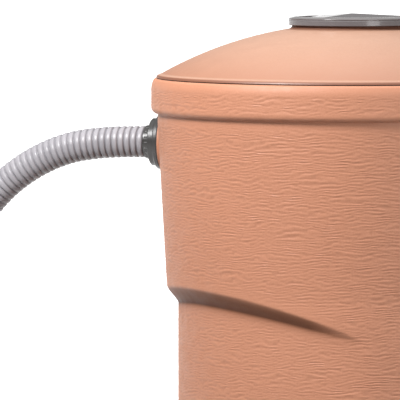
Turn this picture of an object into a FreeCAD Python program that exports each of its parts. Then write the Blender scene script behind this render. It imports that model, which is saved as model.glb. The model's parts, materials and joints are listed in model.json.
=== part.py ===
import FreeCAD, Part
import math
import os

# Rain barrel: a textured drum with a domed lid, an access cap in a collar on the lid, a side inlet
# with a ribbed fill hose, an overflow port, a drain plug and a quarter-turn spigot.
# Millimetres. +Z is up, -Y is the front. The origin is the centre of the flat base.

os.makedirs("parts", exist_ok=True)
Vec = FreeCAD.Vector
ORIGIN = Vec(0, 0, 0)

# ---- driving dimensions: drum ----
SEAM = 858.0              # height of the rim's top face, where the lid sits
RIM_R = 300.0             # outside of the rim band
RIM_TALL = 52.0           # height of the rim band
NECK_R = 290.3            # drum just under the rim band
WAIST_R = 276.5           # drum below the shoulder, front and back
TAPER_FOOT = 545.0        # height where the taper of the upper drum ends
TAPER = 0.0565            # radius gained per millimetre of height above it
WALL = 5.0
FLOOR = 6.0
BASE_ROUND = 24.0         # rounding of the bottom corner
SIDE_INSET = 17.0         # how far the lower drum is set in at the sides
ARM_FRONT = 92.0          # each shoulder fades out over this angle one way, in degrees
ARM_BACK = 75.0           # and over this angle the other way
CREST = 543.0             # highest middle of the shoulder
CREST_ANGLE = 28.0        # where that is, measured from the arm's deepest point
FRONT_DROP = 54.5         # how far the shoulder falls along its long arm
BACK_DROP = 9.8           # and over the first CREST_ANGLE degrees the other way
SECTION_POINTS = 48       # points round each section of the drum

# ---- driving dimensions: lid, collar and cap ----
DOME_R = 580.0            # radius of the lid's outside
DOME_SINK = 498.3         # centre of that sphere below the seam
LID_R = 292.5
LID_WALL = 4.0
LID_EDGE_AT = 286.5       # radius where the sphere turns into the rounded edge
BOSS_R = 89.0             # raised seat of the collar on the lid
BOSS_TOP = 79.5           # above the seam
SEAL_THICK = 1.2
SKIRT_R = 283.5
SKIRT_DEEP = 20.0
LID_HOLE_R = 70.0
COLLAR_R = 95.0
COLLAR_TOP = 92.5         # above the seam
CAP_R = 78.7
CAP_SEAT = 84.0           # above the seam
CAP_PEAK = 97.0           # above the seam
CAP_RIDGE_SLOPE = 0.05    # fall of the cap's three ridges from its peak
CAP_RIDGE_ANGLE = 241.0   # where the first ridge points
BASKET_LEDGE = 77.0       # above the seam
BASKET_DEEP = 50.0

# ---- driving dimensions: ports ----
PORT_OUT = 291.0          # flat pads of the upper ports, from the drum's axis
PORT_IN = 279.0
LOW_OUT = 278.5           # flat pads of the spigot and the drain plug
LOW_IN = 267.0
INLET_ANGLE = 165.0
INLET_HIGH = 758.0
OVERFLOW_ANGLE = 40.0
OVERFLOW_HIGH = 742.0
SPIGOT_ANGLE = 270.0
SPIGOT_HIGH = 118.0
DRAIN_ANGLE = 90.0
DRAIN_HIGH = 62.0

PORT_FLANGE_R = 41.0       # flange of the inlet, just clear of the rim band

# ---- driving dimensions: spigot ----
BALL_AT = 318.0            # centre of the ball, from the drum's axis
BALL_R = 13.8
FLOW_R = 7.5
ELBOW_AT = 348.0           # axis of the spout's drop, from the drum's axis

# ---- driving dimensions: hose ----
HOSE_R = 24.0
HOSE_BORE_R = 20.0
CUFF_TOP = 319.5          # hose end of the plugged cuff, from the drum's axis
CUFF_LONG = 41.0


# ---------------------------------------------------------------- helpers
def save(shape, node):
    """Write one sub-part and say how big it is."""
    shape.exportStep("parts/%s.step" % node)
    box = shape.BoundBox
    print("%-16s solids %2d  valid %s  %9.0f mm3  z %.1f to %.1f" % (
        node, len(shape.Solids), shape.isValid(), shape.Volume, box.ZMin, box.ZMax))


def outline(start, *steps):
    """A closed face in the XZ plane. A step is a point, or a pair of points: on an arc, and its end."""
    edges = []
    here = Vec(start[0], 0, start[1])
    for step in steps + (start,):
        if isinstance(step[0], tuple):
            middle = Vec(step[0][0], 0, step[0][1])
            there = Vec(step[1][0], 0, step[1][1])
            edges.append(Part.Arc(here, middle, there).toShape())
        else:
            there = Vec(step[0], 0, step[1])
            if there.distanceToPoint(here) < 1e-6:
                continue
            edges.append(Part.LineSegment(here, there).toShape())
        here = there
    return Part.Face(Part.Wire(edges))


def turned(start, *steps, angle=360.0):
    """A turned solid about Z from its outline as (radius, height)."""
    return outline(start, *steps).revolve(ORIGIN, Vec(0, 0, 1), angle)


def rod(radius, low, high):
    return Part.makeCylinder(radius, high - low, Vec(0, 0, low))


def ring(inner, outer, low, high):
    return rod(outer, low, high).cut(rod(inner, low - 1, high + 1))


def prism(sides, across, low, high):
    """A regular prism about Z with the given size across its flats."""
    corner_r = across / 2.0 / math.cos(math.pi / sides)
    corners = []
    for index in range(sides + 1):
        turn = 2.0 * math.pi * (index + 0.5) / sides
        corners.append(Vec(corner_r * math.cos(turn), corner_r * math.sin(turn), low))
    return Part.Face(Part.makePolygon(corners)).extrude(Vec(0, 0, high - low))


def around(shape, count, first=0.0):
    """Copies of a shape turned evenly about Z."""
    copies = []
    for index in range(count):
        copy = shape.copy()
        copy.rotate(ORIGIN, Vec(0, 0, 1), first + 360.0 * index / count)
        copies.append(copy)
    return copies


def facing(shape, angle, height):
    """Lay a shape made along +Z so that it points out of the drum at an angle and height."""
    copy = shape.copy()
    copy.rotate(ORIGIN, Vec(0, 1, 0), 90)
    copy.rotate(ORIGIN, Vec(0, 0, 1), angle)
    copy.translate(Vec(0, 0, height))
    return copy


# ---------------------------------------------------------------- drum
def arm_angle(polar):
    """Angle from the nearer shoulder's deepest point. The two shoulders are at 180 and 0 degrees."""
    fold = 180.0 - ARM_FRONT
    return (polar - 180.0 + fold) % 180.0 - fold


def arm_share(polar):
    """How much of the full inset the drum has at this angle, from 0 to 1."""
    turn = arm_angle(polar)
    reach = ARM_FRONT if turn >= 0 else ARM_BACK
    return math.cos(math.radians(90.0 * turn / reach)) if abs(turn) < reach else 0.0


def shoulder_middle(polar):
    """Height of the middle of the shoulder's slope."""
    turn = arm_angle(polar)
    if turn > CREST_ANGLE:
        return CREST - FRONT_DROP * ((turn - CREST_ANGLE) / (ARM_FRONT - CREST_ANGLE)) ** 2.15
    return CREST - BACK_DROP * ((CREST_ANGLE - turn) / CREST_ANGLE) ** 1.5


def drum_radius(polar, height):
    """Outside of the drum, without its rim band and bottom corner."""
    upper = min(NECK_R, WAIST_R + TAPER * max(0.0, height - TAPER_FOOT))
    share = arm_share(polar)
    slope_tall = 4.0 + 21.0 * (1.0 - (1.0 - share) ** 2.2)
    below = (shoulder_middle(polar) + slope_tall / 2.0 - height) / slope_tall
    below = min(1.0, max(0.0, below))
    slope = 0.5 * below + 0.5 * below * below * (3.0 - 2.0 * below)
    return upper - SIDE_INSET * (1.0 - (1.0 - share) ** 1.6) * slope


def section(height, inward):
    """One closed section of the drum at a height, set in from the outside."""
    points = []
    for index in range(SECTION_POINTS):
        polar = 360.0 * index / SECTION_POINTS
        radius = drum_radius(polar, height) - inward
        turn = math.radians(polar)
        points.append(Vec(radius * math.cos(turn), radius * math.sin(turn), height))
    curve = Part.BSplineCurve()
    curve.interpolate(Points=points, PeriodicFlag=True)
    return Part.Wire(curve.toShape())


def stacked(levels):
    """A solid through the sections at these levels, each a height and how far it is set in."""
    return Part.makeLoft([section(height, inward) for height, inward in levels], True, True)


def corner_levels(low, start_inset, radius):
    """Levels that round a bottom corner."""
    levels = []
    for degrees in (0, 22, 45, 67):
        turn = math.radians(degrees)
        inward = start_inset + radius * (1.0 - math.sin(turn))
        levels.append((low + radius * (1.0 - math.cos(turn)), inward))
    return levels


def drum_levels(inward, low, radius, top):
    shoulder = [(452.0 + 6.0 * index, inward) for index in range(20)]
    upper = [(TAPER_FOOT + (NECK_R - WAIST_R) / TAPER, inward), (top, inward)]
    return corner_levels(low, inward, radius) + [(low + radius, inward)] + shoulder + upper


def rim_band():
    top = SEAM
    low = SEAM - RIM_TALL
    return turned(
        (NECK_R - WALL + 0.5, low), (NECK_R + 0.7, low),
        ((RIM_R - 2.5, low + 2.5), (RIM_R, low + 8.5)), (RIM_R, top - 15.0),
        ((RIM_R - 0.7, top - 9.0), (RIM_R - 2.2, top - 4.5)), ((RIM_R - 3.9, top - 1.4), (RIM_R - 7.0, top)),
        (NECK_R - WALL + 0.5, top))


def pad(radius, inner, outer, angle, height):
    return facing(rod(radius, inner, outer), angle, height)


def hole(radius, angle, height):
    return facing(rod(radius, LOW_IN - 30, PORT_OUT + 30), angle, height)


def barrel_shell():
    outer = stacked(drum_levels(0.0, 0.0, BASE_ROUND, SEAM))
    inner = stacked(drum_levels(WALL, FLOOR, BASE_ROUND - WALL, SEAM + 10))
    pads = [
        pad(46, PORT_IN, PORT_OUT, INLET_ANGLE, INLET_HIGH),
        pad(34, PORT_IN, PORT_OUT, OVERFLOW_ANGLE, OVERFLOW_HIGH),
        pad(30, LOW_IN, LOW_OUT, SPIGOT_ANGLE, SPIGOT_HIGH),
        pad(24, LOW_IN, LOW_OUT, DRAIN_ANGLE, DRAIN_HIGH)]
    holes = [
        hole(31.5, INLET_ANGLE, INLET_HIGH), hole(19.4, OVERFLOW_ANGLE, OVERFLOW_HIGH),
        hole(13.6, SPIGOT_ANGLE, SPIGOT_HIGH), hole(12.0, DRAIN_ANGLE, DRAIN_HIGH)]
    print("drum holds %.0f litres to the rim" % (inner.common(rod(400, 0, SEAM)).Volume / 1e6))
    print("and %.0f litres to the overflow" % (inner.common(rod(400, 0, OVERFLOW_HIGH)).Volume / 1e6))
    return outer.fuse(rim_band()).cut(inner).fuse(pads).cut(holes)


# ---------------------------------------------------------------- lid, collar and cap
def dome_height(radius, thinner=0.0):
    """Height of the lid's sphere above the base at a radius, outside or set in."""
    return SEAM - DOME_SINK + math.sqrt((DOME_R - thinner) ** 2 - radius ** 2)


def dome_lid():
    """The sphere, its rounded edge and skirt, and a raised seat for the collar."""
    low = SEAM + SEAL_THICK
    seat = SEAM + BOSS_TOP
    skirt_in = SKIRT_R - LID_WALL
    lid = turned(
        (LID_HOLE_R, seat), (BOSS_R, seat),
        ((BOSS_R + 1.2, seat - 2.8), (BOSS_R + 8, dome_height(BOSS_R + 8))),
        ((200, dome_height(200)), (LID_EDGE_AT, dome_height(LID_EDGE_AT))),
        ((LID_R - 1.6, low + 3.2), (LID_R, low + 0.4)), (LID_R - 0.4, low), (SKIRT_R, low),
        (SKIRT_R, SEAM - SKIRT_DEEP), (skirt_in, SEAM - SKIRT_DEEP),
        (skirt_in, dome_height(skirt_in, LID_WALL)),
        ((180, dome_height(180, LID_WALL)), (LID_HOLE_R, dome_height(LID_HOLE_R, LID_WALL))))
    return lid.cut(around(rod(2.2, SEAM + 63, seat + 1).translate(Vec(86, 0, 0)), 6))


def lid_seal():
    return ring(286, 291, SEAM, SEAM + SEAL_THICK)


def lid_collar():
    neck_r = LID_HOLE_R - 0.4
    low = SEAM + BOSS_TOP
    top = SEAM + COLLAR_TOP
    seat = SEAM + CAP_SEAT
    ledge = SEAM + BASKET_LEDGE
    collar = turned(
        (62, ledge - 22), (neck_r, ledge - 22), (neck_r, low), (COLLAR_R - 0.8, low), (COLLAR_R, low + 0.8),
        (COLLAR_R, low + 7.4), (COLLAR_R - 0.7, low + 8.2), (COLLAR_R - 0.7, low + 8.8),
        ((COLLAR_R - 0.2, low + 9.6), (COLLAR_R - 1.2, low + 10.6)), (COLLAR_R - 9, top - 0.3), (80, top),
        (79, top - 1), (79, seat), (68, seat), (68, ledge), (62, ledge))
    finger_notch = rod(11, seat + 0.5, top + 5).translate(Vec(0, 80, 0))
    screw_holes = around(rod(1.9, SEAM + 63, SEAM + 83.2).translate(Vec(86, 0, 0)), 6)
    return collar.cut(finger_notch).cut(screw_holes)


def collar_screws():
    low = SEAM + 68
    head = turned((0, low), (2.4, low), ((3.5, low + 0.6), (3.9, low + 2.4)), (0, low + 2.4))
    screw = head.fuse(rod(1.8, low + 2.4, low + 15)).cut(prism(4, 1.6, low - 1, low + 1.2))
    return Part.makeCompound(around(screw.translate(Vec(86, 0, 0)), 6))


def three_ridge_roof(peak):
    """A wide solid whose top is three flat faces that meet in three ridges."""
    wide = 600.0
    corners = []
    for index in range(4):
        turn = math.radians(CAP_RIDGE_ANGLE + 120.0 * index)
        corners.append(Vec(wide * math.cos(turn), wide * math.sin(turn), peak - CAP_RIDGE_SLOPE * wide))
    apex = Vec(0, 0, peak)
    faces = [Part.Face(Part.makePolygon(corners))]
    for start, end in zip(corners, corners[1:]):
        faces.append(Part.Face(Part.makePolygon([start, end, apex, start])))
    return Part.Solid(Part.makeShell(faces))


def access_cap():
    under = SEAM + CAP_SEAT + 1.5
    peak = SEAM + CAP_PEAK
    spigot_low = under - 6
    cap = turned(
        (0, peak), (CAP_R - 4, peak), (CAP_R, peak - 4), (CAP_R, under), (67.6, under), (67.6, spigot_low),
        (64.6, spigot_low), (64.6, under + 0.8), (0, under + 0.8))
    return cap.common(three_ridge_roof(peak))


def cap_seal():
    return ring(70.5, 77, SEAM + CAP_SEAT, SEAM + CAP_SEAT + 1.5)


def screen_basket():
    ledge = SEAM + BASKET_LEDGE
    low = ledge - BASKET_DEEP
    cup = turned(
        (50, low), (57, low), (61.5, ledge - 2), (61.5, ledge), (67.3, ledge), (67.3, ledge + 2),
        (59.3, ledge + 2), (55.2, low + 2), (50, low + 2))
    slot = Part.makeBox(30, 9, 30, Vec(45, -4.5, low + 9))
    return cup.cut(around(slot, 14))


def screen_mesh():
    low = SEAM + BASKET_LEDGE - BASKET_DEEP + 2
    disc = rod(54.6, low, low + 1.2)
    holes = [rod(3, low - 1, low + 3)]
    for circle in range(1, 6):
        hole_at = rod(3, low - 1, low + 3).translate(Vec(9.0 * circle, 0, 0))
        holes += around(hole_at, 6 * circle)
    return disc.cut(holes)


# ---------------------------------------------------------------- inlet and hose
def inlet_port():
    face = PORT_OUT + 3
    body = turned(
        (21, 256), (30, 256), (31, 257), (31, face), (PORT_FLANGE_R, face), (PORT_FLANGE_R, face + 4.5),
        (PORT_FLANGE_R - 1.5, face + 6), (36, face + 6), (36, face + 14), (35, face + 15), (31.2, face + 15),
        (31.2, face + 6), (23.5, face + 6), (23.5, 277), (21, 277))
    lip = turned((26.6, face + 12.2), (31.6, face + 12.2), (31.6, face + 15), (26.6, face + 15), angle=60.0)
    return body.fuse(around(lip, 2, 60))


def bulkhead_nut(sides, across, bore, inner_face, thick):
    """A ring nut that clamps a fitting from inside the drum."""
    low = inner_face - thick
    nut = prism(sides, across, low, inner_face).cut(rod(bore, low - 1, inner_face + 1))
    cone = turned((across / 2 - 1.5, low), (across, low), (across, low + across / 2))
    return nut.cut(cone)


def cuff():
    """The bayonet connector on a hose end, made along +Z from the hose to its open end."""
    body = turned(
        (HOSE_BORE_R, 0), (24.2, 0), (25, 0.8), (25, 19), (23, 19), (23, 24), (21.3, 24), (21.3, 26.8),
        (23, 26.8), (23, CUFF_LONG - 1.2), (21.8, CUFF_LONG), (HOSE_BORE_R, CUFF_LONG))
    lug = turned((24, 14), (30.5, 14), (30.5, 19), (24, 19), angle=50.0)
    grip = Part.makeCylinder(1.0, 10, Vec(25.0, 0, 3))
    return body.fuse(around(lug, 2, 65) + around(grip, 18, 10))


def cuff_seal():
    return Part.makeTorus(22.35, 1.0, Vec(0, 0, 25.4), Vec(0, 0, 1))


def plugged(shape):
    """Turn a cuff piece round and put it into the inlet port."""
    copy = shape.copy()
    copy.rotate(ORIGIN, Vec(1, 0, 0), 180)
    copy.translate(Vec(0, 0, CUFF_TOP))
    return facing(copy, INLET_ANGLE, INLET_HIGH)


def hose_points():
    """The hose's route, chosen by hand: distance out from the drum's axis, distance back, height."""
    route = [
        (CUFF_TOP, 0, 758), (406, 0, 758), (490, 3, 731), (562, 8, 679), (615, 14, 606),
        (643, 22, 518), (653, 31, 420), (655, 33, 316), (649, 30, 212), (649, 30, 110)]
    turn = math.radians(INLET_ANGLE)
    points = []
    for out, back, height in route:
        x = out * math.cos(turn) + back * math.sin(turn)
        y = out * math.sin(turn) - back * math.cos(turn)
        points.append(Vec(x, y, height))
    return points


def tangent_arcs(points):
    """Straight runs joined by tangent arcs, each as large as its two runs allow."""
    edges = []
    here = points[0]
    for before, corner, after in zip(points, points[1:], points[2:]):
        back = before - corner
        on = after - corner
        reach = 0.45 * min(back.Length, on.Length)
        back.normalize()
        on.normalize()
        half_turn = (math.pi - back.getAngle(on)) / 2.0
        radius = reach / math.tan(half_turn)
        start = corner + back * reach
        end = corner + on * reach
        inside = back + on
        inside.normalize()
        middle = corner + inside * (radius / math.cos(half_turn) - radius)
        edges.append(Part.LineSegment(here, start).toShape())
        edges.append(Part.Arc(start, middle, end).toShape())
        here = end
        print("hose arc radius %.0f mm" % radius)
    edges.append(Part.LineSegment(here, points[-1]).toShape())
    return Part.Wire(edges)


def along(path, radius):
    """A round bar that follows a path."""
    start = path.Edges[0].firstVertex().Point
    heading = path.Edges[0].tangentAt(path.Edges[0].FirstParameter)
    circle = Part.Wire(Part.makeCircle(radius, start, heading))
    return path.makePipeShell([circle], True, False)


def fill_hose():
    path = tangent_arcs(hose_points())
    hose = along(path, HOSE_R).cut(along(path, HOSE_BORE_R))
    area = math.pi * (HOSE_R ** 2 - HOSE_BORE_R ** 2)
    print("hose length %.1f mm, volume over section %.1f mm" % (path.Length, hose.Volume / area))
    return hose


def hose_end(shape):
    """Hang a cuff piece on the free end of the hose."""
    copy = shape.copy()
    copy.rotate(ORIGIN, Vec(1, 0, 0), 180)
    copy.translate(hose_points()[-1])
    return copy


# ---------------------------------------------------------------- overflow
def overflow_fitting():
    face = PORT_OUT + 2.5
    return turned(
        (13, 262), (18, 262), (19, 263), (19, face), (27, face), (27, face + 3.5), (25.5, face + 5),
        (17, face + 5), (17, face + 23.5), (16, face + 24.5), (13, face + 24.5))


def overflow_cap():
    low = PORT_OUT + 2.5 + 7
    high = low + 22
    cap = turned(
        (0, high), (20, high), ((21.4, high - 0.6), (22, high - 2)),
        (22, low), (17.3, low), (17.3, high - 3.5),
        (0, high - 3.5))
    ridge = Part.makeCylinder(0.9, 16, Vec(22, 0, low + 1.5))
    return cap.fuse(around(ridge, 24))


# ---------------------------------------------------------------- spigot, made along +Z out of the drum
def spigot_body():
    face = LOW_OUT + 3
    body = turned(
        (8, 250), (12.2, 250), (13.2, 251), (13.2, face), (22, face), (22, face + 3.5), (20.5, face + 5),
        (16, face + 5), (15, face + 8), (15, 298), ((16.5, 301.5), (20, 303)), (21, 304), (21, 331.5),
        (20, 332.5), (14.4, 332.5), (14.4, 304), (8, 304))
    tower = Part.makeCylinder(9.5, 26.5, Vec(0, 0, BALL_AT), Vec(-1, 0, 0))
    body = body.fuse(tower.cut(rod(14.4, 304, 332.5)))
    body = body.cut(Part.makeCylinder(4.7, 30, Vec(0, 0, BALL_AT), Vec(-1, 0, 0)))
    seal_seat = Part.makeCylinder(7.0, 5.5, Vec(-21, 0, BALL_AT), Vec(-1, 0, 0))
    return body.cut(seal_seat)


def ball_seats():
    rear = ring(8, 14.3, 304, 309)
    front = ring(8, 14.3, 327, 332)
    ball_room = Part.makeSphere(BALL_R + 0.15, Vec(0, 0, BALL_AT))
    return Part.makeCompound([rear.cut(ball_room), front.cut(ball_room)])


def valve_ball():
    ball = Part.makeSphere(BALL_R, Vec(0, 0, BALL_AT))
    water_way = Part.makeCylinder(FLOW_R, 40, Vec(0, -20, BALL_AT), Vec(0, 1, 0))
    stem_slot = Part.makeBox(6, 40, 3.4, Vec(-17, -20, BALL_AT - 1.7))
    return ball.cut([water_way, stem_slot])


def valve_stem():
    stem = Part.makeCylinder(4.6, 18.7, Vec(-14.2, 0, BALL_AT), Vec(-1, 0, 0))
    blade = Part.makeBox(3.3, 8.4, 3.2, Vec(-14.4, -4.2, BALL_AT - 1.6))
    square = Part.makeBox(7.6, 6, 6, Vec(-40.2, -3, BALL_AT - 3))
    screw_hole = Part.makeCylinder(1.7, 10, Vec(-43, 0, BALL_AT), Vec(1, 0, 0))
    return stem.fuse([blade, square]).cut(screw_hole)


def stem_seal():
    return Part.makeTorus(5.85, 1.1, Vec(-24.5, 0, BALL_AT), Vec(1, 0, 0))


def bonnet_nut():
    nut = prism(6, 23, 26.6, 32.6)
    nut = nut.fuse(ring(4.9, 6.6, 25.8, 26.6)).cut(rod(4.9, 20, 40))
    cone = turned((10.2, 32.6), (30, 32.6), (30, 21))
    nut = nut.cut(cone)
    nut.rotate(ORIGIN, Vec(0, 1, 0), -90)
    nut.translate(Vec(0, 0, BALL_AT))
    return nut


def spigot_lever():
    """The hub stands over the stem; the arm reaches across the flow when the valve is shut."""
    hub = turned((0, 33.2), (8.5, 33.2), (9, 33.7), (9, 40.5), (7.5, 42), (0, 42))
    arm = outline(
        (5, 36), (30, 36.5), ((44, 38.2), (58, 42)), ((64, 43.8), (68, 43.2)), ((70.5, 45.6), (67, 47)),
        ((60, 46.8), (54, 45)), ((42, 41.6), (30, 41)), (5, 41))
    arm = arm.extrude(Vec(0, 18, 0)).translate(Vec(0, -9, 0))
    taper = Part.Face(Part.makePolygon([
        Vec(2, -6.5, 30), Vec(40, -6.5, 30), Vec(72, -9, 30),
        Vec(72, 9, 30), Vec(40, 6.5, 30), Vec(2, 6.5, 30),
        Vec(2, -6.5, 30)])).extrude(Vec(0, 0, 20))
    tip = rod(9, 30, 50).translate(Vec(61, 0, 0)).fuse(Part.makeBox(59, 18, 20, Vec(2, -9, 30)))
    lever = hub.fuse(arm.common(taper).common(tip))
    lever = lever.cut(Part.makeBox(6.3, 6.3, 7.4, Vec(-3.15, -3.15, 33)))
    lever = lever.cut(rod(1.8, 33, 45))
    lever.rotate(ORIGIN, Vec(0, 0, 1), 90)
    lever.rotate(ORIGIN, Vec(0, 1, 0), -90)
    lever.translate(Vec(0, 0, BALL_AT))
    return lever


def lever_screw():
    screw = turned((0, 45), (1.5, 44.8), ((3.2, 44), (3.9, 42.1)), (1.6, 42.1), (1.6, 34.5), (0, 34.5))
    screw = screw.cut(Part.makeBox(8, 1, 1.2, Vec(-4, -0.5, 44)))
    screw.rotate(ORIGIN, Vec(0, 1, 0), -90)
    screw.translate(Vec(0, 0, BALL_AT))
    return screw


def spigot_spout():
    """The elbow that holds the ball in, and ends in the hose thread below."""
    plug = turned(
        (8, 332.7), (21.5, 332.7), (22, 333.2), (22, 334.6), (21.5, 335.1), (17, 335.1), (17, 340),
        (15.5, 341.5),
        (15.5, ELBOW_AT), (8, ELBOW_AT))
    hex_grip = prism(6, 37, 334.0, 340.2).cut(rod(8, 330, 345))
    hex_grip = hex_grip.cut(turned((18, 340.2), (30, 340.2), (30, 333.2)))
    knee = Part.makeSphere(15.5, Vec(0, 0, ELBOW_AT))
    drop = Part.makeCylinder(12.4, 50, Vec(0, 0, ELBOW_AT), Vec(1, 0, 0))
    ledge = Part.makeCylinder(15.5, 3.5, Vec(24, 0, ELBOW_AT), Vec(1, 0, 0))
    spout = plug.fuse([hex_grip, knee, drop, ledge])
    return spout.cut([rod(8, 330, ELBOW_AT), Part.makeCylinder(8, 60, Vec(0, 0, ELBOW_AT), Vec(1, 0, 0))])


# ---------------------------------------------------------------- drain plug
def drain_plug():
    face = LOW_OUT + 1.5
    plug = turned(
        (0, 262), (10.7, 262), (11.7, 263), (11.7, face), (17, face), (17, face + 2), (16, face + 3),
        (0, face + 3))
    return plug.fuse(prism(6, 24, face + 3, face + 11)).cut(prism(4, 12.7, face + 4, face + 12))


# ---------------------------------------------------------------- write the sub-parts
save(barrel_shell(), "barrel_shell")
save(dome_lid(), "dome_lid")
save(lid_seal(), "lid_seal")
save(lid_collar(), "lid_collar")
save(collar_screws(), "collar_screws")
save(access_cap(), "access_cap")
save(cap_seal(), "cap_seal")
save(screen_basket(), "screen_basket")
save(screen_mesh(), "screen_mesh")

save(facing(inlet_port(), INLET_ANGLE, INLET_HIGH), "inlet_port")
save(facing(ring(31.5, PORT_FLANGE_R - 0.5, PORT_OUT, PORT_OUT + 3), INLET_ANGLE, INLET_HIGH), "inlet_gasket")
save(facing(bulkhead_nut(8, 84, 31.2, PORT_IN, 13), INLET_ANGLE, INLET_HIGH), "inlet_nut")
save(plugged(cuff()), "hose_cuff")
save(plugged(cuff_seal()), "cuff_seal")
save(fill_hose(), "fill_hose")
save(hose_end(cuff()), "hose_end_cuff")
save(hose_end(cuff_seal()), "end_cuff_seal")

save(facing(overflow_fitting(), OVERFLOW_ANGLE, OVERFLOW_HIGH), "overflow_fitting")
save(facing(ring(19.4, 27, PORT_OUT, PORT_OUT + 2.5), OVERFLOW_ANGLE, OVERFLOW_HIGH), "overflow_gasket")
save(facing(bulkhead_nut(6, 54, 19.2, PORT_IN, 11), OVERFLOW_ANGLE, OVERFLOW_HIGH), "overflow_nut")
save(facing(overflow_cap(), OVERFLOW_ANGLE, OVERFLOW_HIGH), "overflow_cap")

for piece, name in (
        (spigot_body(), "spigot_body"), (ring(13.6, 22, LOW_OUT, LOW_OUT + 3), "spigot_gasket"),
        (bulkhead_nut(6, 40, 13.4, LOW_IN, 9), "spigot_nut"), (ball_seats(), "ball_seats"),
        (valve_ball(), "valve_ball"), (valve_stem(), "valve_stem"), (stem_seal(), "stem_seal"),
        (bonnet_nut(), "bonnet_nut"), (spigot_lever(), "spigot_lever"), (lever_screw(), "lever_screw"),
        (spigot_spout(), "spigot_spout")):
    save(facing(piece, SPIGOT_ANGLE, SPIGOT_HIGH), name)

save(facing(drain_plug(), DRAIN_ANGLE, DRAIN_HIGH), "drain_plug")
save(facing(ring(12.2, 16.5, LOW_OUT, LOW_OUT + 1.5), DRAIN_ANGLE, DRAIN_HIGH), "drain_seal")
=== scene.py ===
import json
import math

import bpy
import numpy as np
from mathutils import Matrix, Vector


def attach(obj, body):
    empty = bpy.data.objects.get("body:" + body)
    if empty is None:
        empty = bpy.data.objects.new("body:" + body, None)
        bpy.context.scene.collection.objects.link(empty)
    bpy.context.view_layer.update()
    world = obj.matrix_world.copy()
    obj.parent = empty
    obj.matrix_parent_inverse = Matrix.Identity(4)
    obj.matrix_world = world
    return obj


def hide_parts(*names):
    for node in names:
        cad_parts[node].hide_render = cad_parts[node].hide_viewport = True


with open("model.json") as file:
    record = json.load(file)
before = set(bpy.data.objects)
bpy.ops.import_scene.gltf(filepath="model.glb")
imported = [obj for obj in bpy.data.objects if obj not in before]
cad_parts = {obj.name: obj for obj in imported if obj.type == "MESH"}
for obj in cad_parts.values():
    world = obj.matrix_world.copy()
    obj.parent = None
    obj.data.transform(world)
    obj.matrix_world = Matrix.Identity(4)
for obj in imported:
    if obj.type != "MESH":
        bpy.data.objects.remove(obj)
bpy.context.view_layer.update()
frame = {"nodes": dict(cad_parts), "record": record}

# ---------------------------------------------------------------- sizes, in metres as in the CAD model
SEAM = 0.858
RIM_R = 0.300
RIM_TALL = 0.052
NECK_R = 0.2903
WAIST_R = 0.2765
TAPER_FOOT = 0.545
TAPER = 0.0565
WALL = 0.005
FLOOR = 0.006
BASE_ROUND = 0.024
SIDE_INSET = 0.017
ARM_FRONT = 92.0
ARM_BACK = 75.0
CREST = 0.543
CREST_ANGLE = 28.0
FRONT_DROP = 0.0545
BACK_DROP = 0.0098
DOME_R = 0.580
DOME_SINK = 0.4983
LID_R = 0.2925
LID_EDGE_AT = 0.2865
BOSS_R = 0.089
BOSS_TOP = 0.0795
LID_WALL = 0.004
SEAL_THICK = 0.0012
SKIRT_R = 0.2835
SKIRT_DEEP = 0.020
LID_HOLE_R = 0.070
INLET_ANGLE = 165.0
INLET_HEIGHT = 0.758
PORTS = [  # angle, height, pad radius, hole radius, inner plane, outer plane
    (INLET_ANGLE, INLET_HEIGHT, 0.046, 0.0315, 0.279, 0.291),
    (40.0, 0.742, 0.034, 0.0194, 0.279, 0.291),
    (270.0, 0.118, 0.030, 0.0136, 0.267, 0.2785),
    (90.0, 0.062, 0.024, 0.0120, 0.267, 0.2785)]
CUFF_TOP = 0.3195
HOSE_R = 0.024
HOSE_BORE_R = 0.020
RIB_PITCH = 0.0098
RIB_DEEP = 0.0024
DIP_DEEP = 0.0004

# ---------------------------------------------------------------- the drum's wrinkled skin
ROW_STEP = 0.00105
WRINKLE_TALL = 0.0050
WRINKLE_DEEP = 0.00061
DRIFT_CELLS = 62
DRIFT_TALL = 0.024
WANDER_CELLS = 185
WANDER_TALL = 0.0095
STRENGTH_CELLS = 150
STRENGTH_TALL = 0.012
SHORT_CELLS = 260
SHORT_TALL = 0.0029

# ---------------------------------------------------------------- details of the meshes
EDGE_ANGLE = 38
PAD_ROUND = 0.0012
HOLE_SPARE = 0.03
ROUND_MIDDLE = 0.293  # how far in the middle of a rounded edge lies, as a share of its radius
DRUM_COLUMNS = 400
LID_COLUMNS = 320
HOSE_COLUMNS = 56
ROWS_PER_RIB = 16

# ---------------------------------------------------------------- camera
camera = bpy.data.objects.new("camera", bpy.data.cameras.new("camera"))
bpy.context.scene.collection.objects.link(camera)
camera.data.sensor_width = 36.0
camera.data.lens = 360.0
camera.data.clip_end = 200.0
camera.data.dof.use_dof = False
LOOK_AT = Vector((-0.227, 0.0, 0.675))
LOOK_DOWN = math.radians(4.0)
LOOK_FROM = 6.0
camera.location = LOOK_AT + LOOK_FROM * Vector((0, -math.cos(LOOK_DOWN), math.sin(LOOK_DOWN)))
camera.rotation_euler = (math.pi / 2 - LOOK_DOWN, 0, 0)
bpy.context.scene.camera = camera


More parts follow.
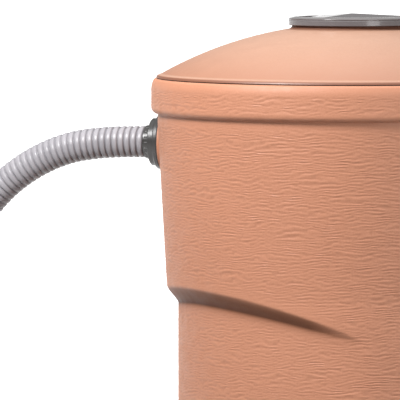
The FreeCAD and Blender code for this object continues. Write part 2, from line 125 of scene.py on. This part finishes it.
# ---------------------------------------------------------------- mesh helpers
def mesh_object(name, points, faces, grain=None):
    """A smooth-shaded mesh from an array of points and arrays of quads or triangles."""
    mesh = bpy.data.meshes.new(name)
    points = np.asarray(points, dtype=np.float32)
    mesh.vertices.add(len(points))
    mesh.vertices.foreach_set("co", points.ravel())
    corners = np.concatenate([np.asarray(part, dtype=np.int32).ravel() for part in faces])
    sizes = np.concatenate([np.full(len(part), len(part[0]), dtype=np.int32) for part in faces])
    starts = np.concatenate([[0], np.cumsum(sizes)[:-1]]).astype(np.int32)
    mesh.loops.add(len(corners))
    mesh.loops.foreach_set("vertex_index", corners)
    mesh.polygons.add(len(sizes))
    mesh.polygons.foreach_set("loop_start", starts)
    mesh.polygons.foreach_set("use_smooth", np.ones(len(sizes), dtype=bool))
    mesh.update(calc_edges=True)
    # grain: a share for each point that the materials use as painted shade in wrinkles and grooves.
    if grain is not None:
        mesh.attributes.new("grain", "FLOAT", "POINT").data.foreach_set("value", grain.astype(np.float32))
    thing = bpy.data.objects.new(name, mesh)
    bpy.context.scene.collection.objects.link(thing)
    return thing


def wall_quads(rows, columns, close_rows=False):
    """Quads of a tube of rings, the rings closed, and the rows too if asked."""
    row = np.arange(rows if close_rows else rows - 1)[:, None]
    column = np.arange(columns)[None, :]
    after = (column + 1) % columns
    above = (row + 1) % rows
    here = row * columns
    there = above * columns
    return np.stack([here + column, here + after, there + after, there + column], -1).reshape(-1, 4)


def end_fans(rows, columns):
    """Triangles that close the first and last rings, to two middle points that come after all rings."""
    column = np.arange(columns)
    after = (column + 1) % columns
    middle = rows * columns
    last = middle - columns
    foot = np.stack([np.full(columns, middle), after, column], -1)
    top = np.stack([np.full(columns, middle + 1), last + column, last + after], -1)
    return [foot, top]


def ring_points(radius, height, columns):
    """Points of stacked rings about Z, from a radius and a height for each row, or for each point of it."""
    turn = 2 * math.pi * np.arange(columns) / columns
    x = radius * np.cos(turn)[None]
    y = radius * np.sin(turn)[None]
    z = np.broadcast_to(height, x.shape)
    return np.stack([x, y, z], -1).reshape(-1, 3)


def arc_points(start, middle, end, count):
    """Points on the arc through three points, without the first."""
    (ax, ay), (bx, by), (cx, cy) = start, middle, end
    a_square = ax * ax + ay * ay
    b_square = bx * bx + by * by
    c_square = cx * cx + cy * cy
    divisor = 2 * (ax * (by - cy) + bx * (cy - ay) + cx * (ay - by))
    ux = (a_square * (by - cy) + b_square * (cy - ay) + c_square * (ay - by)) / divisor
    uy = (a_square * (cx - bx) + b_square * (ax - cx) + c_square * (bx - ax)) / divisor
    first = math.atan2(ay - uy, ax - ux)
    mid = math.atan2(by - uy, bx - ux)
    last = math.atan2(cy - uy, cx - ux)
    turn = (last - first) % (2 * math.pi)
    if (mid - first) % (2 * math.pi) > turn:
        turn -= 2 * math.pi
    radius = math.hypot(ax - ux, ay - uy)
    angles = [first + turn * step / count for step in range(1, count + 1)]
    return [(ux + radius * math.cos(angle), uy + radius * math.sin(angle)) for angle in angles]


def revolved(name, profile, columns):
    """A closed turned piece from a closed outline of (radius, height)."""
    profile = np.array(profile)
    points = ring_points(profile[:, :1], profile[:, 1:], columns)
    return mesh_object(name, points, [wall_quads(len(profile), columns, True)])


def sharpen(thing, degrees):
    """Shade as sharp the edges that turn by more than this."""
    thing.data.set_sharp_from_angle(angle=math.radians(degrees))


def facing(thing, angle, height):
    """Lay a piece made along +Z so that it points out of the drum at an angle and height."""
    turn = math.radians(angle)
    out = np.array([math.cos(turn), math.sin(turn), 0.0])
    aside = np.array([-math.sin(turn), math.cos(turn), 0.0])
    up = np.array([0.0, 0.0, 1.0])
    count = len(thing.data.vertices)
    points = np.empty(count * 3, dtype=np.float32)
    thing.data.vertices.foreach_get("co", points)
    points = points.reshape(-1, 3)
    placed = points[:, 2:3] * out - points[:, 0:1] * up + points[:, 1:2] * aside + np.array([0, 0, height])
    thing.data.vertices.foreach_set("co", placed.astype(np.float32).ravel())
    thing.data.update()
    return thing


# ---------------------------------------------------------------- noise on the drum's skin
def lattice_noise(u, v, cells_round, seed):
    """Smooth gradient noise that repeats after cells_round cells of u."""
    rng = np.random.default_rng(seed)
    rows = int(np.ceil(v.max() - v.min())) + 3
    v = v - v.min()
    lean = rng.uniform(0, 2 * np.pi, (rows, cells_round))
    ui = np.floor(u).astype(int)
    vi = np.floor(v).astype(int)
    uf = u - ui
    vf = v - vi
    su = uf * uf * uf * (uf * (uf * 6 - 15) + 10)
    sv = vf * vf * vf * (vf * (vf * 6 - 15) + 10)

    def corner(du, dv):
        angle = lean[(vi + dv) % rows, (ui + du) % cells_round]
        return np.cos(angle) * (uf - du) + np.sin(angle) * (vf - dv)

    low = corner(0, 0) * (1 - su) + corner(1, 0) * su
    high = corner(0, 1) * (1 - su) + corner(1, 1) * su
    return (low * (1 - sv) + high * sv) * 1.4


def ripples(turn, height):
    """Height of the drum's wrinkled skin, about -1 to 1, over arrays of angle (radians) and height."""
    share = turn / (2 * math.pi)
    drift = lattice_noise(share * DRIFT_CELLS, height / DRIFT_TALL, DRIFT_CELLS, 3)
    wander = lattice_noise(share * WANDER_CELLS, height / WANDER_TALL, WANDER_CELLS, 4)
    v = height / WRINKLE_TALL + 1.6 * drift + 0.60 * wander
    bands = np.sin(2 * np.pi * v)
    patches = lattice_noise(share * STRENGTH_CELLS, height / STRENGTH_TALL, STRENGTH_CELLS, 5)
    strength = 0.80 + 0.75 * patches
    short = lattice_noise(share * SHORT_CELLS, height / SHORT_TALL + 0.8 * wander, SHORT_CELLS, 6)
    return np.tanh(0.85 * bands * np.clip(strength, 0.15, 1.2) + 0.55 * short)


def smoothstep(low, high, value):
    """0 below low, 1 above high, and a smooth rise between."""
    share = np.clip((value - low) / (high - low), 0, 1)
    return share * share * (3 - 2 * share)


# ---------------------------------------------------------------- drum
def drum_radius(polar, height):
    """The drum's outside without its rim band, how wrinkled it is, and how much painted shade it gets under
    the shoulder.
    """
    fold = 180.0 - ARM_FRONT
    turn = (polar - 180.0 + fold) % 180.0 - fold
    reach = np.where(turn >= 0, ARM_FRONT, ARM_BACK)
    share = np.where(np.abs(turn) < reach, np.cos(np.radians(90.0 * turn / reach)), 0.0)
    share = np.maximum(share, 0.0)
    falling = np.clip((turn - CREST_ANGLE) / (ARM_FRONT - CREST_ANGLE), 0, None) ** 2.15
    rising = np.clip((CREST_ANGLE - turn) / CREST_ANGLE, 0, None) ** 1.5
    middle = CREST - np.where(turn > CREST_ANGLE, FRONT_DROP * falling, BACK_DROP * rising)
    tall = 0.004 + 0.021 * (1 - (1 - share) ** 2.2)
    below = np.clip((middle + tall / 2 - height) / tall, 0, 1)
    upper = np.minimum(NECK_R, WAIST_R + TAPER * np.maximum(0, height - TAPER_FOOT))
    edge = 1.0 - np.exp(-((height - middle) / 0.022) ** 2) * np.minimum(1, share * 3)
    slope = 0.5 * below + 0.5 * below * below * (3 - 2 * below)
    depth = 1 - (1 - share) ** 1.6
    # Painted shade under the shoulder: how far the skin's colour is darkened, rising down the shoulder's
    # slope and fading out below it.
    beneath = np.maximum(0, middle - tall / 2 - height)
    upper_part = smoothstep(0, 0.2, below) * (0.45 + 0.55 * below ** 1.5)
    shade_share = np.minimum(1, 2.4 * depth) * np.where(beneath > 0, np.exp(-beneath / 0.005), upper_part)
    return upper - SIDE_INSET * depth * slope, edge, shade_share


def drum_piece():
    """The drum as one closed wall: up the outside, over the rim and down the inside."""
    columns = DRUM_COLUMNS
    turn = 2 * math.pi * np.arange(columns) / columns
    polar = np.degrees(turn)
    rows = []
    grains = []
    shoulder_shade = []

    def add_row(height, inward=0.0, skin=0.0, radius=None):
        heights = np.full(columns, height)
        if radius is None:
            around, edge, shade_share = drum_radius(polar, heights)
            around = around - inward
        else:
            around, edge, shade_share = np.full(columns, radius), np.ones(columns), np.zeros(columns)
        rows.append((around, heights))
        grains.append(skin * edge)
        shoulder_shade.append(shade_share)

    for step in range(9):
        lean = math.radians(90 * step / 9)
        add_row(BASE_ROUND * (1 - math.cos(lean)), BASE_ROUND * (1 - math.sin(lean)), 0.1)
    neck = SEAM - RIM_TALL
    count = int((neck - 0.0005 - BASE_ROUND) / ROW_STEP)
    for height in np.linspace(BASE_ROUND, neck - 0.0005, count):
        from_base = smoothstep(BASE_ROUND, BASE_ROUND + 0.03, height)
        to_neck = 1 - 0.85 * smoothstep(neck - 0.022, neck - 0.006, height)
        add_row(height, 0.0, from_base * to_neck)
    low = [(NECK_R + 0.0002, neck), (NECK_R + 0.0007, neck)]
    low += arc_points(low[-1], (RIM_R - 0.0025, neck + 0.0025), (RIM_R, neck + 0.0085), 7)
    high = [(RIM_R, height) for height in np.linspace(neck + 0.0085, SEAM - 0.015, 22)[1:]]
    high += arc_points(high[-1], (RIM_R - 0.0007, SEAM - 0.009), (RIM_R - 0.0022, SEAM - 0.0045), 8)
    high += arc_points(high[-1], (RIM_R - 0.0039, SEAM - 0.0014), (RIM_R - 0.007, SEAM), 5)
    for radius, height in low + high:
        from_neck = smoothstep(neck + 0.005, neck + 0.012, height)
        to_rim = 1 - smoothstep(SEAM - 0.020, SEAM - 0.010, height)
        add_row(height, 0.0, from_neck * to_rim, radius)
    above = np.arange(0.845, 0.575, -0.03)
    shoulder = np.arange(0.570, 0.450, -0.005)
    below = np.arange(0.42, 0.05, -0.04)
    for height in np.concatenate([[SEAM], above, shoulder, below]):
        add_row(height, WALL)
    inner_round = BASE_ROUND - WALL
    for step in range(8, -1, -1):
        lean = math.radians(90 * step / 8)
        add_row(FLOOR + inner_round * (1 - math.cos(lean)), WALL + inner_round * (1 - math.sin(lean)))

    radius = np.array([row[0] for row in rows])
    height = np.array([row[1] for row in rows])
    skin = np.array(grains)
    lift = ripples(np.repeat(turn[None], len(rows), 0), height)
    radius = radius + WRINKLE_DEEP * skin * lift
    points = np.concatenate([ring_points(radius, height, columns), [[0, 0, 0], [0, 0, FLOOR]]])
    # grain: painted shade in the wrinkles, none on the crests and rising into the deepest troughs.
    grain = np.concatenate([(skin * np.clip(-lift, -1, 1)).ravel(), [0, 0]])
    faces = [wall_quads(len(rows), columns)] + end_fans(len(rows), columns)
    thing = mesh_object("drum", points, faces, grain)
    # Each point's share of painted shade under the shoulder, for the skin's colour.
    shade_values = np.concatenate([np.array(shoulder_shade).ravel(), [0, 0]]).astype(np.float32)
    thing.data.attributes.new("shoulder_shade", "FLOAT", "POINT").data.foreach_set("value", shade_values)
    return thing


def joined(thing, others, operation):
    """Cut or add closed pieces; they are used up."""
    for other in others:
        tool = thing.modifiers.new("tool", "BOOLEAN")
        tool.operation = operation
        tool.solver = "MANIFOLD"
        tool.object = other
        view = bpy.context.evaluated_depsgraph_get()
        result = bpy.data.meshes.new_from_object(
            thing.evaluated_get(view), preserve_all_data_layers=True, depsgraph=view)
        thing.modifiers.clear()
        old = thing.data
        thing.data = result
        result.name = old.name = thing.name
        bpy.data.meshes.remove(old)
        bpy.data.objects.remove(other)
    thing.data.materials.clear()
    thing.data.polygons.foreach_set("material_index", np.zeros(len(thing.data.polygons), dtype=np.int32))
    return thing


def disc(name, radius, low, high, rounding, columns=72):
    """A closed disc about Z with a rounded top edge."""
    profile = [(radius, low), (radius, high - rounding)]
    if rounding:
        middle = (radius - ROUND_MIDDLE * rounding, high - ROUND_MIDDLE * rounding)
        profile += arc_points(profile[-1], middle, (radius - rounding, high), 4)
    profile = np.array(profile)
    points = ring_points(profile[:, :1], profile[:, 1:], columns)
    points = np.concatenate([points, [[0, 0, low], [0, 0, high]]])
    return mesh_object(name, points, [wall_quads(len(profile), columns)] + end_fans(len(profile), columns))


drum = drum_piece()
pads = []
holes = []
for angle, height, pad_r, hole_r, inner, outer in PORTS:
    pad = disc("pad", pad_r, inner, outer, PAD_ROUND)
    pads.append(facing(pad, angle, height))
    hole = disc("hole", hole_r, inner - HOLE_SPARE, outer + HOLE_SPARE, 0.0)
    holes.append(facing(hole, angle, height))
joined(drum, pads, "UNION")
joined(drum, holes, "DIFFERENCE")
sharpen(drum, EDGE_ANGLE)
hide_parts("barrel_shell")
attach(drum, "drum")


# ---------------------------------------------------------------- lid
def dome_height(radius, thinner=0.0):
    """Height of the dome at a distance from its axis."""
    return SEAM - DOME_SINK + math.sqrt((DOME_R - thinner) ** 2 - radius ** 2)


def lid_piece():
    """The lid turned from one outline: seat, dome, edge and skirt, and the underside."""
    seat = SEAM + BOSS_TOP
    low = SEAM + SEAL_THICK
    skirt_in = SKIRT_R - LID_WALL
    dome_from = BOSS_R + 0.008
    outline = [(LID_HOLE_R, seat), (BOSS_R - 0.0004, seat), (BOSS_R, seat - 0.0004)]
    dome_start = (dome_from, dome_height(dome_from))
    outline += arc_points(outline[-1], (BOSS_R + 0.0012, seat - 0.0028), dome_start, 8)
    outline += [(r, dome_height(r)) for r in np.linspace(dome_from, LID_EDGE_AT, 50)[1:]]
    outline += arc_points(outline[-1], (LID_R - 0.0016, low + 0.0032), (LID_R, low + 0.0004), 8)
    outline += [
        (LID_R - 0.0004, low), (SKIRT_R, low), (SKIRT_R, SEAM - SKIRT_DEEP + 0.001),
        (SKIRT_R - 0.001, SEAM - SKIRT_DEEP), (skirt_in, SEAM - SKIRT_DEEP)]
    outline += [(r, dome_height(r, LID_WALL)) for r in np.linspace(skirt_in, LID_HOLE_R, 30)]
    lid = revolved("lid", outline[::-1], LID_COLUMNS)
    sharpen(lid, EDGE_ANGLE)
    return lid


lid = lid_piece()
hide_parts("dome_lid")
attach(lid, "lid")


# ---------------------------------------------------------------- hose
def hose_route():
    """The same route as in the CAD model: distance out from the drum's axis, distance back, height."""
    route = [
        (CUFF_TOP, 0, INLET_HEIGHT), (0.406, 0, INLET_HEIGHT), (0.490, 0.003, 0.731), (0.562, 0.008, 0.679),
        (0.615, 0.014, 0.606), (0.643, 0.022, 0.518), (0.653, 0.031, 0.420), (0.655, 0.033, 0.316),
        (0.649, 0.030, 0.212), (0.649, 0.030, 0.110)]
    turn = math.radians(INLET_ANGLE)
    points = []
    for out, back, height in route:
        x = out * math.cos(turn) + back * math.sin(turn)
        y = out * math.sin(turn) - back * math.cos(turn)
        points.append(Vector((x, y, height)))
    return points


def route_line(points, name):
    """Points along the smooth spline that has these as its control points."""
    curve = bpy.data.curves.new(name, "CURVE")
    curve.dimensions = "3D"
    curve.resolution_u = 40
    spline = curve.splines.new("NURBS")
    spline.points.add(len(points) - 1)
    for slot_point, point in zip(spline.points, points):
        slot_point.co = (*point, 1.0)
    spline.order_u = 3
    spline.use_endpoint_u = True
    holder = bpy.data.objects.new(name, curve)
    bpy.context.scene.collection.objects.link(holder)
    view = bpy.context.evaluated_depsgraph_get()
    mesh = bpy.data.meshes.new_from_object(holder.evaluated_get(view))
    line = np.array([vertex.co for vertex in mesh.vertices], dtype=float)
    bpy.data.meshes.remove(mesh)
    bpy.data.objects.remove(holder)
    bpy.data.curves.remove(curve)
    return line


def resampled(line, count):
    """The line as evenly spaced points, and its length."""
    steps = np.linalg.norm(np.diff(line, axis=0), axis=1)
    run = np.concatenate([[0], np.cumsum(steps)])
    wanted = np.linspace(0, run[-1], count)
    return np.stack([np.interp(wanted, run, line[:, axis]) for axis in range(3)], -1), run[-1]


def hose_frames(line):
    """Headings and two steady side directions along a line."""
    heading = np.gradient(line, axis=0)
    heading /= np.linalg.norm(heading, axis=1)[:, None]
    side = np.cross(heading[0], [0, 0, 1.0])
    side /= np.linalg.norm(side)
    sides = []
    for ahead in heading:
        side = side - ahead * np.dot(side, ahead)
        side /= np.linalg.norm(side)
        sides.append(side)
    sides = np.array(sides)
    return heading, sides, np.cross(heading, sides)


def hose_piece():
    """The ribbed hose as one closed tube, and the line along its middle."""
    line = route_line(hose_route(), "route")
    ribs = round(resampled(line, 2)[1] / RIB_PITCH)
    samples = ribs * ROWS_PER_RIB + 1
    line = resampled(line, samples)[0]
    heading, side, over = hose_frames(line)
    columns = HOSE_COLUMNS
    turn = 2 * math.pi * np.arange(columns) / columns
    phase = (np.arange(samples) % ROWS_PER_RIB) / ROWS_PER_RIB
    groove = np.exp(-((np.minimum(phase, 1 - phase)) / 0.125) ** 2)
    crown = np.cos(2 * math.pi * (phase - 0.5)) * 0.5 + 0.5
    radius = HOSE_R - RIB_DEEP * groove - DIP_DEEP * (1 - crown)
    ring = np.cos(turn)[None, :, None] * side[:, None] + np.sin(turn)[None, :, None] * over[:, None]
    outside = line[:, None] + ring * radius[:, None, None]
    inside = (line[:, None] + ring * HOSE_BORE_R)[::-1][::ROWS_PER_RIB // 2]
    points = np.concatenate([outside, inside])
    # The groove profile kept as grain, for painted shade in the grooves.
    grain = np.concatenate([np.repeat(groove[:, None], columns, 1), np.zeros(inside.shape[:2])])
    faces = [wall_quads(len(points), columns, True)[:, ::-1]]
    return mesh_object("hose", points.reshape(-1, 3), faces, grain.ravel()), line


hose, hose_line = hose_piece()
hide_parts("fill_hose")
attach(hose, "drum")


# ---------------------------------------------------------------- materials
class Nodes:
    """A short way to write a material's nodes."""

    def __init__(self, name):
        self.material = bpy.data.materials.new(name)
        self.material.use_nodes = True
        self.tree = self.material.node_tree
        self.tree.nodes.clear()
        self.output = self.tree.nodes.new("ShaderNodeOutputMaterial")
        self.shader = self.tree.nodes.new("ShaderNodeBsdfPrincipled")
        self.link(self.shader.outputs[0], self.output.inputs[0])
        self.where = self.tree.nodes.new("ShaderNodeTexCoord").outputs["Object"]

    def link(self, source, target):
        self.tree.links.new(source, target)

    def put(self, value, target):
        """Link an output to the socket, or set the socket to a plain value."""
        if isinstance(value, bpy.types.NodeSocket):
            self.link(value, target)
        else:
            target.default_value = value

    def scaled(self, scale):
        """The object's own coordinates, stretched."""
        node = self.tree.nodes.new("ShaderNodeMapping")
        node.inputs["Scale"].default_value = scale
        self.link(self.where, node.inputs["Vector"])
        return node.outputs[0]

    def noise(self, scale, detail=3.0, rough=0.5, stretch=None, twist=0.0):
        node = self.tree.nodes.new("ShaderNodeTexNoise")
        node.inputs["Scale"].default_value = scale
        node.inputs["Detail"].default_value = detail
        node.inputs["Roughness"].default_value = rough
        node.inputs["Distortion"].default_value = twist
        self.link(self.scaled(stretch) if stretch else self.where, node.inputs["Vector"])
        return node.outputs["Fac"]

    def facing_up(self):
        """The surface normal's share along +Z."""
        split = self.tree.nodes.new("ShaderNodeSeparateXYZ")
        self.link(self.tree.nodes.new("ShaderNodeNewGeometry").outputs["Normal"], split.inputs[0])
        return split.outputs["Z"]

    def from_axis(self):
        """Distance from the drum's axis."""
        node = self.tree.nodes.new("ShaderNodeVectorMath")
        node.operation = "LENGTH"
        self.link(self.scaled((1.0, 1.0, 0.0)), node.inputs[0])
        return node.outputs["Value"]

    def attribute(self, name):
        node = self.tree.nodes.new("ShaderNodeAttribute")
        node.attribute_name = name
        return node.outputs["Fac"]

    def spread(self, value, low, high, to_low=0.0, to_high=1.0):
        """The value's range from low to high, spread over another range and clamped to it."""
        node = self.tree.nodes.new("ShaderNodeMapRange")
        self.put(value, node.inputs["Value"])
        for key, number in zip(("From Min", "From Max", "To Min", "To Max"), (low, high, to_low, to_high)):
            node.inputs[key].default_value = number
        return node.outputs[0]

    def blend(self, share, first, second):
        node = self.tree.nodes.new("ShaderNodeMix")
        node.data_type = "RGBA"
        self.put(share, node.inputs[0])
        self.put(first, node.inputs[6])
        self.put(second, node.inputs[7])
        return node.outputs[2]

    def clouded(self, cloud, first, second):
        """Two colours in soft patches."""
        return self.blend(self.spread(cloud, 0.3, 0.7), rgb(*first), rgb(*second))

    def bump(self, height, strength, distance, under=None):
        node = self.tree.nodes.new("ShaderNodeBump")
        node.inputs["Strength"].default_value = strength
        node.inputs["Distance"].default_value = distance
        self.link(height, node.inputs["Height"])
        if under is not None:
            self.link(under, node.inputs["Normal"])
        return node.outputs[0]

    def finish(self, colour, roughness, normal=None, **sockets):
        self.put(colour, self.shader.inputs["Base Color"])
        self.put(roughness, self.shader.inputs["Roughness"])
        if normal is not None:
            self.link(normal, self.shader.inputs["Normal"])
        for key, value in sockets.items():
            self.shader.inputs[key.replace("_", " ")].default_value = value
        return self.material


def rgb(*levels):
    return (*levels, 1.0)


def drum_material():
    """Brown drum skin, with painted shade in the wrinkles' troughs and painted shade under the shoulder,
    where it is also less shiny.
    """
    m = Nodes("drum_skin")
    grain = m.attribute("grain")
    cloud = m.noise(4.0, 4.0, 0.55)
    speck = m.noise(420.0, 2.0, 0.6)
    base = m.clouded(cloud, (0.422, 0.179, 0.100), (0.463, 0.200, 0.113))
    base = m.blend(m.spread(speck, 0.35, 0.75), base, rgb(0.48, 0.212, 0.125))
    # Painted shade in the wrinkles' troughs.
    base = m.blend(m.spread(grain, 0.0, 1.0, 0.0, 0.36), base, rgb(0.22, 0.085, 0.045))
    # Painted shade under the shoulder: the colour blended almost to black-brown.
    base = m.blend(m.spread(m.attribute("shoulder_shade"), 0.0, 1.0, 0.0, 0.90), base, rgb(0.055, 0.020, 0.012))
    rough = m.spread(m.noise(60.0, 3.0), 0.3, 0.7, 0.48, 0.62)
    fine = m.noise(1.0, 3.0, 0.6, (130.0, 130.0, 520.0), 0.6)
    pores = m.noise(1500.0, 2.0)
    normal = m.bump(pores, 0.25, 0.0002, m.bump(fine, 0.35, 0.0005))
    # Less specular where the shoulder's painted shade lies.
    m.link(m.spread(m.attribute("shoulder_shade"), 0.0, 0.6, 0.45, 0.1), m.shader.inputs["Specular IOR Level"])
    return m.finish(base, rough, normal)


def lid_material():
    """Lighter brown lid skin, with painted shade where it turns down at the edge and a painted shadow close
    round the collar.
    """
    m = Nodes("lid_skin")
    cloud = m.noise(7.0, 4.0, 0.55)
    speck = m.noise(500.0, 2.0, 0.6)
    base = m.clouded(cloud, (0.395, 0.215, 0.143), (0.435, 0.248, 0.170))
    base = m.blend(m.spread(speck, 0.35, 0.75), base, rgb(0.45, 0.265, 0.185))
    # Painted shade: darker where the lid turns down towards its edge, away from the light above.
    base = m.blend(m.spread(m.facing_up(), 0.87, 0.965, 0.85, 0.0), base, rgb(0.315, 0.138, 0.080))
    base = m.blend(m.spread(m.facing_up(), 0.72, 0.87, 0.90, 0.0), base, rgb(0.17, 0.064, 0.034))
    # Painted shadow close round the collar's foot.
    base = m.blend(m.spread(m.from_axis(), 0.0895, 0.102, 0.75, 0.0), base, rgb(0.11, 0.045, 0.028))
    rough = m.spread(m.noise(40.0, 3.0), 0.3, 0.7, 0.38, 0.50)
    pebble = m.noise(650.0, 3.0, 0.6)
    waves = m.noise(18.0, 1.0)
    normal = m.bump(pebble, 0.22, 0.0003, m.bump(waves, 0.5, 0.0012))
    return m.finish(base, rough, normal)


def moulded(name, dark, light, rough, grain=900.0, depth=0.0002, wear=None, painted_top_light=None):
    """Moulded plastic or rubber, with a colour for scuffs and a painted reflection on faces that look up,
    if asked.
    """
    m = Nodes(name)
    colour = m.clouded(m.noise(22.0, 4.0, 0.6), dark, light)
    if wear:
        scuff = m.noise(1.0, 6.0, 0.7, (180.0, 180.0, 260.0), 1.5)
        colour = m.blend(m.spread(scuff, 0.58, 0.75, 0.0, 0.5), colour, rgb(*wear))
    if painted_top_light:
        # Painted reflection: faces that look up made lighter.
        colour = m.blend(m.spread(m.facing_up(), 0.5, 0.95), colour, rgb(*painted_top_light))
    roughness = m.spread(m.noise(90.0, 4.0, 0.6), 0.3, 0.7, *rough)
    normal = m.bump(m.noise(grain, 3.0, 0.6), 0.3, depth)
    return m.finish(colour, roughness, normal)


def hose_material():
    """Grey hose plastic, with painted shade in the grooves."""
    m = Nodes("hose_skin")
    groove = m.attribute("grain")
    colour = m.clouded(m.noise(30.0, 4.0, 0.6), (0.27, 0.26, 0.28), (0.33, 0.315, 0.335))
    # Painted shade in the grooves between the ribs.
    colour = m.blend(m.spread(groove, 0.1, 1.0, 0.0, 0.70), colour, rgb(0.17, 0.16, 0.175))
    roughness = m.spread(m.noise(120.0, 3.0), 0.3, 0.7, 0.32, 0.45)
    normal = m.bump(m.noise(800.0, 3.0), 0.2, 0.0002)
    return m.finish(colour, roughness, normal)


def turned_metal(name, colour, across):
    """Metal with fine tool lines."""
    m = Nodes(name)
    lines = m.noise(1.0, 5.0, 0.7, across)
    shade = m.clouded(lines, [0.8 * level for level in colour], colour)
    roughness = m.spread(lines, 0.3, 0.7, 0.22, 0.38)
    return m.finish(shade, roughness, m.bump(lines, 0.2, 0.0001), Metallic=1.0)


drum.data.materials.append(drum_material())
lid.data.materials.append(lid_material())
hose.data.materials.append(hose_material())

black = moulded(
    "black_moulding", (0.014, 0.013, 0.012), (0.022, 0.020, 0.019), (0.30, 0.42),
    wear=(0.045, 0.041, 0.038))
cuff_black = moulded("cuff_moulding", (0.014, 0.012, 0.0105), (0.021, 0.018, 0.016), (0.24, 0.36))
GREY_DARK = (0.088, 0.076, 0.078)
GREY_LIGHT = (0.110, 0.096, 0.098)
grey = moulded("grey_moulding", GREY_DARK, GREY_LIGHT, (0.06, 0.10), grain=700.0, depth=0.00003)
# The collar's top faces get a painted reflection.
collar_grey = moulded(
    "collar_moulding", GREY_DARK, GREY_LIGHT, (0.12, 0.2), grain=700.0, depth=0.00003,
    painted_top_light=(0.17, 0.16, 0.16))
lever_grey = moulded("lever_moulding", (0.22, 0.21, 0.215), (0.27, 0.255, 0.26), (0.32, 0.45))
rubber = moulded("rubber", (0.014, 0.014, 0.014), (0.024, 0.023, 0.022), (0.55, 0.75), grain=1400.0)
white = moulded("white_seat", (0.55, 0.54, 0.52), (0.63, 0.62, 0.60), (0.25, 0.4))
brass = turned_metal("turned_brass", (0.68, 0.50, 0.22), (60.0, 60.0, 1600.0))
steel = turned_metal("screw_steel", (0.62, 0.61, 0.59), (700.0, 700.0, 700.0))
wire = turned_metal("mesh_wire", (0.55, 0.55, 0.54), (900.0, 900.0, 200.0))
BY_SLOT = {
    "black_plastic": black, "cuff_plastic": cuff_black, "grey_plastic": grey,
    "lever_plastic": lever_grey, "seal_rubber": rubber, "seat_plastic": white,
    "ball_brass": brass, "screw_steel": steel, "mesh_steel": wire}
slot_of = {part["node"]: part["material_slot"] for part in frame["record"]["subparts"]}
for name, node in frame["nodes"].items():
    if slot_of[name] in BY_SLOT:
        node.data.materials.clear()
        node.data.materials.append(collar_grey if name == "lid_collar" else BY_SLOT[slot_of[name]])

# ---------------------------------------------------------------- floor and light
FLOOR_R = 60.0
FLOOR_THICK = 0.05
floor = disc("floor", FLOOR_R, -FLOOR_THICK, 0.0, 0.0, 96)
sharpen(floor, 30)
ground = Nodes("floor_paint")
paint = ground.clouded(ground.noise(1.2, 2.0), (0.995, 0.995, 0.995), (1.0, 1.0, 1.0))
floor.data.materials.append(ground.finish(paint, 0.9))
ground.shader.inputs["Specular IOR Level"].default_value = 0.0
ground.shader.inputs["Emission Color"].default_value = rgb(1.0, 1.0, 1.0)
ground.shader.inputs["Emission Strength"].default_value = 0.6
floor.visible_diffuse = False

SKY_MIDDLE = 0.30
SKY_TOP = 2.3
SKY_STOPS = [  # how far up the sky, -1 to 1, and how bright it is there
    (-1.0, 0.08), (-0.10, 0.10), (-0.06, 1.0), (0.10, 1.0),
    (0.15, SKY_MIDDLE), (0.6, SKY_MIDDLE), (1.0, SKY_TOP)]
scene = bpy.context.scene
scene.view_settings.view_transform = "Standard"
world = bpy.data.worlds.new("world")
scene.world = world
world.use_nodes = True
sky = world.node_tree.nodes["Background"]
direction = world.node_tree.nodes.new("ShaderNodeTexCoord")
split = world.node_tree.nodes.new("ShaderNodeSeparateXYZ")
level = world.node_tree.nodes.new("ShaderNodeMapRange")
level.inputs["From Min"].default_value = -1.0
ramp = world.node_tree.nodes.new("ShaderNodeValToRGB")
ramp.color_ramp.elements.remove(ramp.color_ramp.elements[1])
for up, bright in SKY_STOPS:
    stop = ramp.color_ramp.elements.new((up + 1) / 2)
    stop.color = rgb(bright, bright, bright)
world.node_tree.links.new(direction.outputs["Generated"], split.inputs[0])
world.node_tree.links.new(split.outputs["Z"], level.inputs["Value"])
world.node_tree.links.new(level.outputs[0], ramp.inputs[0])
world.node_tree.links.new(ramp.outputs[0], sky.inputs["Color"])


def soft_light(name, place, aim, size, power):
    """A round lamp that the camera doesn't see, turned towards a point."""
    light = bpy.data.lights.new(name, "AREA")
    light.shape = "DISK"
    light.size = size
    light.energy = power
    lamp = bpy.data.objects.new(name, light)
    lamp.location = place
    lamp.rotation_euler = (Vector(aim) - Vector(place)).to_track_quat("-Z", "Y").to_euler()
    lamp.visible_camera = False
    scene.collection.objects.link(lamp)


soft_light("key", place=(-1.25, -1.12, 2.15), aim=(-0.05, -0.1, 0.76), size=0.8, power=62.0)
soft_light("fill", place=(1.5, -2.0, 1.3), aim=(0.05, 0.0, 0.60), size=1.4, power=20.0)
